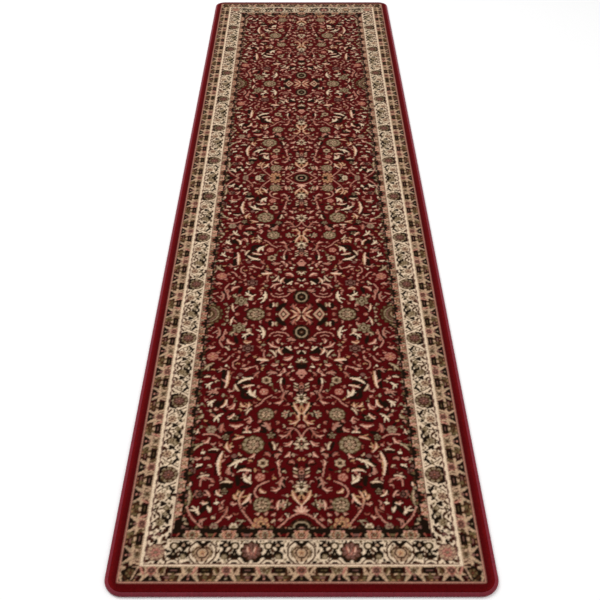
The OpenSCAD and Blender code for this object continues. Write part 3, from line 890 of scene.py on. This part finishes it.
def distance_in(node, axis):
    """How far in from the rug's outer edge the node's outer side lies."""
    return abs(cad_box[0][axis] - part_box(node)[0][axis])


def new_piece(name, corners, faces, node):
    """A mesh object that rides on the root body and stands for a CAD node."""
    mesh = bpy.data.meshes.new(name)
    mesh.vertices.add(len(corners))
    mesh.vertices.foreach_set("co", np.asarray(corners, np.float32).ravel())
    sizes = np.concatenate([np.full(len(face_set), len(face_set[0])) for face_set in faces])
    loops = np.concatenate([face_set.ravel() for face_set in faces])
    mesh.loops.add(len(loops))
    mesh.loops.foreach_set("vertex_index", loops.astype(np.int32))
    mesh.polygons.add(len(sizes))
    mesh.polygons.foreach_set("loop_start", (np.cumsum(sizes) - sizes).astype(np.int32))
    mesh.polygons.foreach_set("use_smooth", np.ones(len(sizes), bool))
    mesh.update(calc_edges=True)
    mesh.validate()
    piece = bpy.data.objects.new(name, mesh)
    bpy.context.scene.collection.objects.link(piece)
    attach(piece, "root")
    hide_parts(node)
    return piece


def slab(name, grid, level, node, grid_above=True):
    """A closed slab: a grid of points on one side and flat at a level on the other. Also gives its rim."""
    points = grid.reshape(-1, 3)
    index = np.arange(len(points)).reshape(grid.shape[:2])
    rim = np.concatenate([index[0, :-1], index[:-1, -1], index[-1, :0:-1], index[:0:-1, 0]])
    flat_rim = points[rim].copy()
    flat_rim[:, 2] = level
    foot = len(points) + np.arange(len(rim))
    skin = np.stack([index[:-1, :-1], index[:-1, 1:], index[1:, 1:], index[1:, :-1]], -1).reshape(-1, 4)
    walls = np.stack([rim, foot, np.roll(foot, -1), np.roll(rim, -1)], -1)
    faces = [skin, walls, foot[::-1][None]]
    if not grid_above:
        faces = [np.roll(face_set[:, ::-1], 1, axis=1) for face_set in faces]
    return new_piece(name, np.vstack([points, flat_rim]), faces, node), rim


def paint(piece, colours):
    """Linear colours, one a corner point of the mesh, into the piece's colour attribute."""
    attribute = piece.data.color_attributes.new("yarn", "FLOAT_COLOR", "POINT")
    rgba = np.ones((len(colours), 4), np.float32)
    rgba[:, :3] = colours
    attribute.data.foreach_set("color", rgba.ravel())


def to_linear(colour):
    """Linear light from sRGB colours of 0 to 255."""
    share = np.asarray(colour, float) / 255
    return np.where(share <= 0.04045, share / 12.92, ((share + 0.055) / 1.055) ** 2.4)


# ---- Pile ----------------------------------------------------------------------------------------

PILE_LOW, PILE_TOP = (corner.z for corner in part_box("pile_field"))
TUFT_RISE = 0.00035  # how far one tuft stands above or below its neighbours
TUFT_LEAN = 0.0003  # how far a tuft's tip leans out of its place
TUFT_SHADE, ROW_SHADE = 0.12, 0.015  # how much the dye varies from tuft to tuft and from row to row
FOOT_SHADE = 0.6  # painted shade: how much darker the pile blocks' sides are painted towards their foot
EDGE_DROP = 0.0022  # how far the pile bends down at the rug's rim
EDGE_REACH = 0.012  # width of that bend
OVERHANG = 0.0018  # how far the outermost tufts lean out over the overcast edge
RIM_LIGHT = 0.34  # painted highlight: how much lighter the tufts are painted where they lean out at the rim
SIDE_LIGHT = 0.85  # painted highlight: how much lighter still they are painted along the rug's long sides
CORNER = 0.042  # radius of the rug's outer corners

# The bands of pile from the field outwards: each one's slot, and in how many parts its sides are made
BANDS = {
    "field": ("field_pile", 4),
    "inner_guard": ("guard_pile", 2),
    "inner_cream_line": ("cream_pile", 1),
    "main_border": ("border_pile", 4),
    "outer_cream_line": ("cream_pile", 1),
    "outer_guard": ("guard_pile", 4),
    "pin_line": ("tan_pile", 1),
    "edge_band": ("wine_pile", 1),
}


def band_starts(axis):
    """Where each band starts on one axis, in millimetres in from the rug's outer edge."""
    return {band: round(distance_in(f"pile_{band}", axis) / MM / KNOT) * KNOT for band in BANDS}


WIDTH_MM, LENGTH_MM = (round((cad_box[1][axis] - cad_box[0][axis]) / MM) for axis in (0, 1))
COLS, ROWS = round(WIDTH_MM / KNOT), round(LENGTH_MM / KNOT)
SIDES, ENDS = band_starts(0), band_starts(1)
quarter = quarter_chart(WIDTH_MM / 2, LENGTH_MM / 2, SIDES, ENDS)
half_chart = np.hstack([quarter[:, ::-1], quarter])
rug_chart = np.vstack([half_chart, half_chart[::-1]])

rng = np.random.default_rng(SEED)
tuft_shade = rng.normal(1, TUFT_SHADE, rug_chart.shape)
row_shade = rng.normal(1, ROW_SHADE, (ROWS, 1))
knot_colours = to_linear(list(YARNS.values()))[rug_chart] * (tuft_shade * row_shade)[..., None]
# Where four knots meet, their fibres mingle
spread_out = np.pad(knot_colours, ((1, 1), (1, 1), (0, 0)), mode="edge")
tip_colours = (spread_out[1:, 1:] + spread_out[:-1, 1:] + spread_out[1:, :-1] + spread_out[:-1, :-1]) / 4

# The surface of the pile: a tip where four knots meet, each a little out of line and height
half_x, half_y = cad_box[1].x, cad_box[1].y
tip_x, tip_y = np.meshgrid(
    np.linspace(cad_box[0].x, half_x, COLS + 1), np.linspace(cad_box[0].y, half_y, ROWS + 1)
)
tip_rise = rng.uniform(-2, 0, tip_x.shape) * TUFT_RISE
tip_lean = np.moveaxis(rng.uniform(-TUFT_LEAN, TUFT_LEAN, (2, *tip_x.shape)), 0, -1)
rim_inset = distance_in("pile_edge_band", 0)
to_rim = np.minimum(half_x - abs(tip_x), half_y - abs(tip_y)) - rim_inset
# At the corners the square grid is drawn in to the round corner of the pile
arc_start_x, arc_start_y, pile_corner = half_x - CORNER, half_y - CORNER, CORNER - rim_inset
past_x = np.clip((abs(tip_x) - arc_start_x) / pile_corner, 0, 1)
past_y = np.clip((abs(tip_y) - arc_start_y) / pile_corner, 0, 1)
in_corner = (past_x > 0) & (past_y > 0)
round_x, round_y = past_x * np.sqrt(1 - past_y**2 / 2), past_y * np.sqrt(1 - past_x**2 / 2)
tip_x = np.where(in_corner, np.sign(tip_x) * (arc_start_x + round_x * pile_corner), tip_x)
tip_y = np.where(in_corner, np.sign(tip_y) * (arc_start_y + round_y * pile_corner), tip_y)
to_rim = np.where(in_corner, pile_corner * (1 - np.hypot(round_x, round_y)), to_rim)
near_rim = np.clip(1 - to_rim / EDGE_REACH, 0, 1) ** 2
tip_x += OVERHANG * near_rim**2 * np.sign(tip_x) * (abs(tip_x) > arc_start_x)
tip_y += OVERHANG * near_rim**2 * np.sign(tip_y) * (abs(tip_y) > arc_start_y)
tips = np.stack([tip_x, tip_y, PILE_TOP + tip_rise - EDGE_DROP * near_rim], -1)
# 1 along the long sides, 0 along the ends, and between them round the corners
reach_x = np.clip(abs(tip_x) - arc_start_x, 1e-6, None)
reach_y = np.clip(abs(tip_y) - arc_start_y, 1e-6, None)
side_share = reach_x**2 / (reach_x**2 + reach_y**2)
# Painted highlight: the tufts near the rim are painted lighter, most of all along the long sides
tip_colours *= (1 + (RIM_LIGHT + SIDE_LIGHT * side_share) * near_rim)[..., None]


def pile_block(name, node, cols, rows):
    """A closed block of pile over a range of knots: tips above, its four sides and a flat foot."""
    part = np.s_[rows[0] : rows[1] + 1, cols[0] : cols[1] + 1]
    grid = tips[part].copy()
    grid[1:-1, 1:-1, :2] += tip_lean[part][1:-1, 1:-1]
    piece, rim = slab(name, grid, PILE_LOW, node)
    colours = tip_colours[part].reshape(-1, 3)
    # The foot's corners carry the painted shade, so the blocks' sides darken downwards
    paint(piece, np.vstack([colours, colours[rim] * FOOT_SHADE]))
    return piece


def cut(start, end, parts):
    """A range of knots in equal parts, numbered from 1."""
    places = np.linspace(start, end, parts + 1).round().astype(int)
    return enumerate(zip(places[:-1], places[1:]), 1)


def band_blocks(band, inner):
    """The pieces of one band outside another: its two sides, each in some parts, and its two ends."""
    node, (slot, side_parts) = f"pile_{band}", BANDS[band]
    blocks = []
    o_side, i_side, o_end, i_end = (round(at[name] / KNOT) for at in (SIDES, ENDS) for name in (band, inner))
    for side, cols in (("left", (o_side, i_side)), ("right", (COLS - i_side, COLS - o_side))):
        for number, rows in cut(o_end, ROWS - o_end, side_parts):
            blocks.append(pile_block(f"{node}_{side}_{number}", node, cols, rows))
    for end, rows in (("near", (o_end, i_end)), ("far", (ROWS - i_end, ROWS - o_end))):
        blocks.append(pile_block(f"{node}_{end}", node, (i_side, COLS - i_side), rows))
    return blocks


first_col, first_row = round(SIDES["field"] / KNOT), round(ENDS["field"] / KNOT)
field_slot, field_parts = BANDS["field"]
pile_pieces = [
    pile_block(f"field_repeat_{number}", "pile_field", (first_col, COLS - first_col), rows)
    for number, rows in cut(first_row, ROWS - first_row, field_parts)
]
for inner_band, band in zip(BANDS, list(BANDS)[1:]):
    pile_pieces += band_blocks(band, inner_band)

# ---- Overcast edge -------------------------------------------------------------------------------
# Yarn wrapped side by side round the rug's edge. Each wrap is a ridge that leans along the edge.

ARC = CORNER * math.pi / 2
QUARTER = arc_start_y + ARC + arc_start_x  # from the middle of the right side to that of the far end
ROLL_WIDE = rim_inset
ROLL_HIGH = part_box("serging")[1].z
WRAP_PITCH = 0.003  # from one wrap to the next
WRAP_STEPS = 4  # rings of corners to one wrap
WRAP_DEPTH = 0.0006  # how deep the groove between two wraps is
SECTION_STEPS = 14  # corners round one section of the roll
SERGING_YARN = (110, 28, 40)
SIDE_HIGHLIGHT = 0.35  # painted highlight: how much lighter the wraps are painted along the long sides


def rim_run(start, end):
    """Points and inward normals along the rug's rounded outline, from one share of its round to another.

    Shares: 0 and 0.5 are the middles of the right and left sides, 0.25 and 0.75 of the far and near ends.
    """
    count = round(4 * (end - start) * QUARTER / WRAP_PITCH) * WRAP_STEPS
    spots = []
    for along in np.linspace(start * 4, end * 4, count + 1):
        turn = math.floor(along)
        length = (along - turn) * QUARTER
        if turn % 2:
            length = QUARTER - length
        if length < arc_start_y:
            x, y, nx, ny = half_x, length, -1, 0
        elif length < arc_start_y + ARC:
            angle = (length - arc_start_y) / CORNER
            nx, ny = -math.cos(angle), -math.sin(angle)
            x, y = arc_start_x - CORNER * nx, arc_start_y - CORNER * ny
        else:
            x, y, nx, ny = QUARTER - length, half_y, 0, -1
        flip_x = -1 if turn % 4 in (1, 2) else 1
        flip_y = -1 if turn % 4 in (2, 3) else 1
        spots.append((x * flip_x, y * flip_y, nx * flip_x, ny * flip_y))
    return np.array(spots)


def wrapped_run(name, start, end):
    """One closed length of the overcast roll."""
    spots = rim_run(start, end)
    count = len(spots)
    ring = np.arange(SECTION_STEPS) * math.tau / SECTION_STEPS
    flat = ROLL_WIDE / 2 - ROLL_HIGH / 2
    phase = np.arange(count)[:, None] / WRAP_STEPS + ring[None] / math.tau
    wrap_jitter = rng.uniform(0, 0.25, count // WRAP_STEPS + 3)
    ridge = abs(np.sin(math.pi * phase)) ** 0.6
    sink = WRAP_DEPTH * (1 - ridge + wrap_jitter[phase.astype(int)] * ridge)
    radius = ROLL_HIGH / 2 - sink
    inward = ROLL_WIDE / 2 - np.cos(ring) * radius - np.sign(np.round(np.cos(ring), 6)) * flat
    up = np.clip(ROLL_HIGH / 2 + np.sin(ring) * radius, 0, None)
    x = spots[:, :1] + spots[:, 2:3] * inward
    y = spots[:, 1:2] + spots[:, 3:4] * inward
    corners = np.stack([x, y, np.broadcast_to(up, x.shape)], -1).reshape(-1, 3)
    index = np.arange(count * SECTION_STEPS).reshape(count, SECTION_STEPS)
    nxt = np.roll(index, -1, axis=1)
    skin = np.stack([index[:-1], index[1:], nxt[1:], nxt[:-1]], -1).reshape(-1, 4)
    piece = new_piece(name, corners, [skin, index[0][None], index[-1, ::-1][None]], "serging")
    # Painted shade: the grooves between the wraps are darker, besides a random tone for each wrap
    shade = (0.62 + 0.42 * ridge) * rng.normal(1, 0.06, wrap_jitter.shape)[phase.astype(int)]
    # Painted highlight: the wraps along the long sides are painted lighter
    shade *= 1 + SIDE_HIGHLIGHT * spots[:, 2:3] ** 2
    paint(piece, shade.reshape(-1, 1) * to_linear(SERGING_YARN))
    return piece


# Each run ends in the middle of a corner
CORNER_SHARE = (arc_start_y + ARC / 2) / QUARTER / 4
RUNS = {
    "serging_right": (-CORNER_SHARE, CORNER_SHARE),
    "serging_far_end": (CORNER_SHARE, 0.5 - CORNER_SHARE),
    "serging_left": (0.5 - CORNER_SHARE, 0.5 + CORNER_SHARE),
    "serging_near_end": (0.5 + CORNER_SHARE, 1 - CORNER_SHARE),
}
wrapped_runs = [wrapped_run(name, *shares) for name, shares in RUNS.items()]

# ---- Back ----------------------------------------------------------------------------------------
# The woven back under its coat of size: ribs across the rug, one for each row of knots drawn.

RIB_PITCH = 0.004
RIB_STEPS = 3  # rows of points to one rib
RIB_DEPTH = 0.0003
BACK_COLUMNS = 40
BACK_COLOUR = (172, 146, 106)


def woven_back():
    """The closed sheet of the back, ribbed below, with its own round corners."""
    low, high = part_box("back_coat")
    inner = CORNER - ROLL_WIDE
    rows = round((high.y - low.y) / RIB_PITCH) * RIB_STEPS + 1
    y = np.linspace(low.y, high.y, rows)
    past = np.clip(abs(y) - (high.y - inner), 0, inner)
    half = high.x - inner + np.sqrt(inner**2 - past**2)
    x = np.linspace(-1, 1, BACK_COLUMNS + 1)[None] * half[:, None]
    groove = (np.arange(rows) % RIB_STEPS == 0)[:, None] * 1.0
    z = low.z + RIB_DEPTH * (groove * 0.8 + rng.uniform(0, 0.2, x.shape))
    z[[0, -1]], z[:, [0, -1]] = low.z, low.z
    grid = np.stack([x, np.broadcast_to(y[:, None], x.shape), z], -1)
    piece, rim = slab("woven_back", grid, high.z, "back_coat", grid_above=False)
    # Painted shade: the rows in the grooves between the ribs are darker, besides a random tone for each row
    # and place
    shade = rng.normal(1, 0.05, (rows, 1)) * rng.normal(1, 0.04, x.shape) * (1 - 0.25 * groove)
    shade = np.concatenate([shade.ravel(), np.ones(len(rim))])
    paint(piece, shade[:, None] * to_linear(BACK_COLOUR))
    return piece


back = woven_back()

# ---- Materials -----------------------------------------------------------------------------------


class Nodes:
    """A short way to build a node material round one Principled shader."""

    def __init__(self, name, **sockets):
        self.material = bpy.data.materials.new(name)
        self.material.use_nodes = True
        self.tree = self.material.node_tree
        self.shader = self.tree.nodes["Principled BSDF"]
        for socket, value in sockets.items():
            self.feed(self.shader, socket.replace("_", " "), value)
        self.place = self.add("ShaderNodeTexCoord").outputs["Object"]

    def feed(self, node, socket, value):
        """Link an output to a node's input, or set the input to a value."""
        if hasattr(value, "links"):
            self.tree.links.new(value, node.inputs[socket])
        else:
            node.inputs[socket].default_value = value

    def add(self, kind, inputs=None, **settings):
        node = self.tree.nodes.new(kind)
        for name, value in settings.items():
            setattr(node, name, value)
        for socket, value in (inputs or {}).items():
            self.feed(node, socket, value)
        return node

    def surface(self, colour, roughness, height, distance, strength):
        """The shader's own colour, roughness and bump."""
        bump = self.add("ShaderNodeBump", {"Distance": distance, "Strength": strength, "Height": height})
        self.feed(self.shader, "Base Color", colour)
        self.feed(self.shader, "Roughness", roughness)
        self.feed(self.shader, "Normal", bump.outputs["Normal"])
        return self.material

    def yarn(self):
        """The piece's painted colour attribute, with its painted shade and highlights."""
        return self.add("ShaderNodeVertexColor", layer_name="yarn").outputs["Color"]

    def noise(self, scale, detail, place=None):
        """Cloudy noise from 0 to 1, at the object's own places unless others are given."""
        inputs = {"Scale": scale, "Detail": detail, "Vector": place or self.place}
        return self.add("ShaderNodeTexNoise", inputs).outputs["Fac"]

    def ramp(self, source, to_low, to_high, low=0.3, high=0.7):
        """A number from low to high, spread over another range."""
        ends = {"From Min": low, "From Max": high, "To Min": to_low, "To Max": to_high}
        return self.add("ShaderNodeMapRange", {**ends, "Value": source}).outputs["Result"]

    def maths(self, operation, a, b):
        return self.add("ShaderNodeMath", {0: a, 1: b}, operation=operation).outputs["Value"]

    def shade(self, colour, *factors):
        """The colour times one number after another, all from outputs."""
        factor = factors[0]
        for other in factors[1:]:
            factor = self.maths("MULTIPLY", factor, other)
        inputs = {0: colour, "Scale": factor}
        return self.add("ShaderNodeVectorMath", inputs, operation="SCALE").outputs["Vector"]


def pile_material(name, sheen):
    """Cut pile: the knots' painted colour, with its painted rim highlight and foot shade, lighter and darker
    from fibre to fibre, with a soft sheen.
    """
    tint = (1.0, 0.86, 0.84, 1)
    m = Nodes(name, Sheen_Weight=sheen, Sheen_Roughness=0.45, Sheen_Tint=tint, Specular_IOR_Level=0.02)
    fibre, tuft, patch = m.noise(1500, 2), m.noise(420, 1), m.noise(9, 3)
    colour = m.shade(m.yarn(), m.ramp(fibre, 0.86, 1.14), m.ramp(tuft, 0.9, 1.1), m.ramp(patch, 0.95, 1.05))
    height = m.maths("ADD", fibre, m.maths("MULTIPLY", tuft, 1.5))
    return m.surface(colour, m.ramp(fibre, 0.8, 0.98), height, 0.0006, 0.8)


def yarn_material(name, roughness, sheen):
    """Wrapped yarn: the wraps' painted colour, with its painted groove shade and side highlight, and fine
    strands along each wrap.
    """
    tint = (1.0, 0.7, 0.72, 1)
    m = Nodes(name, Sheen_Weight=sheen, Sheen_Roughness=0.4, Sheen_Tint=tint, Specular_IOR_Level=0.2)
    strand, patch = m.noise(2200, 2), m.noise(30, 2)
    colour = m.shade(m.yarn(), m.ramp(strand, 0.85, 1.15), m.ramp(patch, 0.95, 1.05))
    return m.surface(colour, m.ramp(strand, roughness, roughness + 0.15), strand, 0.0004, 0.7)


def back_material(name):
    """A jute weave seen through thin dull size."""
    m = Nodes(name, Specular_IOR_Level=0.2)
    fibre, blot = m.noise(900, 3), m.noise(14, 4)
    look = {"Scale": 80, "Distortion": 1.5, "Detail": 2, "Vector": m.place}
    weft = m.add("ShaderNodeTexWave", look, wave_type="BANDS", bands_direction="X").outputs["Fac"]
    blots = m.ramp(blot, 0.9, 1.06, 0.35, 0.65)
    colour = m.shade(m.yarn(), m.ramp(fibre, 0.82, 1.12), blots, m.ramp(weft, 0.8, 1.08, 0, 1))
    return m.surface(colour, m.ramp(blot, 0.7, 0.95), m.maths("ADD", fibre, weft), 0.0004, 0.6)


def thread_material(name, colour, stretch, roughness=0.9):
    """A spun thread of the ground: one colour with streaks along it and thick and thin places."""
    m = Nodes(name, Specular_IOR_Level=0.15)
    along = m.add("ShaderNodeMapping", {"Scale": stretch, "Vector": m.place}).outputs["Vector"]
    streak, patch = m.noise(600, 3, along), m.noise(25, 2)
    linear = to_linear(colour)
    mix = {"Factor": m.ramp(streak, 0, 1), "A": (*linear * 0.7, 1), "B": (*np.minimum(linear * 1.2, 1), 1)}
    base = m.add("ShaderNodeMix", mix, data_type="RGBA").outputs["Result"]
    base = m.shade(base, m.ramp(patch, 0.9, 1.08))
    return m.surface(base, m.ramp(streak, roughness - 0.15, roughness), streak, 0.0003, 0.5)


for pieces, material in (
    (pile_pieces, pile_material("cut_pile", 0.02)),
    (wrapped_runs, yarn_material("overcast_yarn", 0.7, 0.7)),
    ([back], back_material("sized_back")),
):
    for piece in pieces:
        piece.data.materials.append(material)

ALONG, ACROSS = (1, 0.06, 1), (0.06, 1, 1)
jute = thread_material("jute_thread", (158, 128, 86), ACROSS)
cotton = thread_material("cotton_thread", (208, 196, 172), ALONG)
for node, material in {
    "lower_weft": jute,
    "upper_weft": jute,
    "stuffer_warps": cotton,
    "chain_warps": cotton,
    "buried_pile_yarns": thread_material("buried_pile_yarn", YARNS["wine"], ALONG),
    "lock_thread": thread_material("polyester_thread", (70, 10, 16), (1, 1, 1), 0.6),
}.items():
    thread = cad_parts[node]
    thread.data.materials.clear()
    thread.data.materials.append(material)

# ---- Stage, light and camera ---------------------------------------------------------------------

FLOOR_HALF = 30  # far past the edge of every view
floor_mesh = bpy.data.meshes.new("floor")
floor_mesh.from_pydata(
    [(x * FLOOR_HALF, y * FLOOR_HALF, 0) for x, y in ((-1, -1), (1, -1), (1, 1), (-1, 1))], [], [(0, 1, 2, 3)]
)
floor = bpy.data.objects.new("floor", floor_mesh)
bpy.context.scene.collection.objects.link(floor)
floor_look = Nodes("pale_floor", Base_Color=(1.0, 1.0, 1.0, 1), Roughness=1.0, Specular_IOR_Level=0.0)
floor_mesh.materials.append(floor_look.material)


def area_light(name, place, target, size, power):
    lamp = bpy.data.lights.new(name, "AREA")
    lamp.shape = "SQUARE"
    lamp.size = size
    lamp.energy = power
    light = bpy.data.objects.new(name, lamp)
    bpy.context.scene.collection.objects.link(light)
    light.location = place
    aim = Vector(target) - Vector(place)
    light.rotation_euler = aim.to_track_quat("-Z", "Y").to_euler()


KEY_POWER, FILL_POWER = 174, 80  # watts
SKY_STRENGTH = 0.54
CAMERA_PLACE, TILT_DOWN = (0, -2.333, 1.537), 41.65  # the tilt in degrees below level
LENS_MM, SENSOR_MM = 49.4, 36
SHIFT = -0.0025  # as a share of the width, to match the photo's crop
area_light("key", (-2.5, 1.5, 5.0), (0, 0, 0), 4.0, KEY_POWER)
area_light("fill", (3.0, -2.5, 4.0), (0, 0, 0), 5.0, FILL_POWER)
world = bpy.data.worlds.new("studio")
world.use_nodes = True
world.node_tree.nodes["Background"].inputs["Color"].default_value = (1, 1, 1, 1)
world.node_tree.nodes["Background"].inputs["Strength"].default_value = SKY_STRENGTH
bpy.context.scene.world = world
bpy.context.scene.view_settings.view_transform = "Standard"

camera_data = bpy.data.cameras.new("camera")
camera_data.lens = LENS_MM
camera_data.sensor_width = SENSOR_MM
camera_data.shift_x = SHIFT
camera = bpy.data.objects.new("camera", camera_data)
bpy.context.scene.collection.objects.link(camera)
camera.location = CAMERA_PLACE
camera.rotation_euler = (math.radians(90 - TILT_DOWN), 0, 0)
bpy.context.scene.camera = camera
